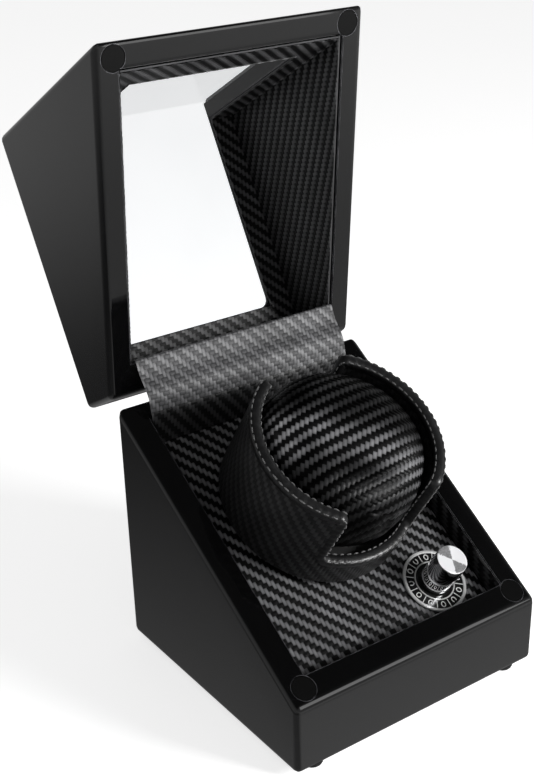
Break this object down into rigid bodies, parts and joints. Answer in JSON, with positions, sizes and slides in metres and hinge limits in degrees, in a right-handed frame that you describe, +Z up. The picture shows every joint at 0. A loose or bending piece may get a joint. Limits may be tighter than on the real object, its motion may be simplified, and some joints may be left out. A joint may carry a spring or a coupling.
{
  "type": "watch winder box",
  "caption": "Wedge-shaped lacquered box with a hinged see-through lid, a motor-driven slanted cup that holds a padded watch pillow, and a mode knob on a dial.",
  "frame": {"origin": "centre of the case's underside, between the feet", "axes": "+X to the right seen from the front, +Y from the low front to the high back, +Z up; the lid stands open"},
  "size_m": [0.12, 0.1987, 0.2482],
  "materials": {
    "lacquer": "polished black piano lacquer over fibreboard",
    "leather": "black artificial leather with a woven carbon-twill relief, satin",
    "clear_pane": "clear bent sheet, polished",
    "chrome": "polished, with a spun top face",
    "dial_metal": "satin ring round a black printed band",
    "steel": "zinc plated",
    "brass": "turned",
    "black_plastic": "fine moulded grain",
    "rubber": "matt",
    "circuit_board": "solder mask",
    "cable": "satin insulation"
  },
  "bodies": {
    "base": {"base_shell": "lacquer", "bottom_cover": "black_plastic", "cover_screw_1": "steel", "cover_screw_2": "steel", "cover_screw_3": "steel", "cover_screw_4": "steel", "foot_1": "rubber", "foot_2": "rubber", "foot_3": "rubber", "foot_4": "rubber", "slope_panel": "leather", "base_magnet_left": "black_plastic", "base_magnet_right": "black_plastic", "hinge_flap": "leather", "hinge_base_leaf": "steel", "hinge_pin": "steel", "hinge_base_screw_1": "steel", "hinge_base_screw_2": "steel", "hinge_base_screw_3": "steel", "dial_plate": "dial_metal", "rotary_switch": "black_plastic", "switch_nut": "steel", "gear_motor": "steel", "motor_screw_1": "steel", "motor_screw_2": "steel", "drive_bracket": "steel", "bracket_screw_1": "steel", "bracket_screw_2": "steel", "upper_bush": "brass", "lower_bush": "brass", "drive_belt": "rubber", "circuit_board": "circuit_board", "power_socket": "black_plastic", "power_socket_nut": "steel", "motor_cable": "cable", "power_cable": "cable"},
    "lid": {"lid_shell": "lacquer", "lid_window": "clear_pane", "lid_lining_left": "leather", "lid_lining_right": "leather", "lid_lining_top": "leather", "lid_lining_front": "leather", "lid_lining_back": "leather", "hinge_lid_leaf": "steel", "hinge_lid_screw_1": "steel", "hinge_lid_screw_2": "steel", "hinge_lid_screw_3": "steel", "lid_magnet_left": "black_plastic", "lid_magnet_right": "black_plastic"},
    "rotor": {"cup_drum": "black_plastic", "cup_wrap": "leather", "cup_liner": "leather", "spindle": "steel", "spindle_screw": "steel", "driven_pulley": "black_plastic"},
    "pillow": {"pillow": "leather"},
    "motor_output": {"motor_shaft": "steel", "motor_pulley": "brass"},
    "knob": {"knob": "chrome", "switch_shaft": "steel"}
  },
  "joints": [
    {"name": "lid_hinge", "type": "hinge", "parent": "base", "child": "lid", "pos_m": [0, 0.0609, 0.1053], "axis": [1, 0, 0], "range_deg": [0, 119.4], "deforming": ["hinge_flap"]},
    {"name": "rotor_spin", "type": "hinge", "parent": "base", "child": "rotor", "pos_m": [0, 0.007, 0.07192], "axis": [0, -0.5462, 0.8376], "continuous": true},
    {"name": "motor_spin", "type": "hinge", "parent": "base", "child": "motor_output", "pos_m": [-0.029, 0.01441, 0.05287], "axis": [0, -0.5462, 0.8376], "continuous": true},
    {"name": "knob_turn", "type": "hinge", "parent": "base", "child": "knob", "pos_m": [0.0296, -0.03664, 0.04346], "axis": [0, -0.5462, 0.8376], "range_deg": [-150, 150]},
    {"name": "pillow_lift", "type": "slide", "parent": "rotor", "child": "pillow", "axis": [0, -0.5462, 0.8376], "range_m": [0, 0.01]}
  ],
  "couplings": [
    {"joint": "motor_spin", "follows": "rotor_spin", "ratio": 4}
  ]
}
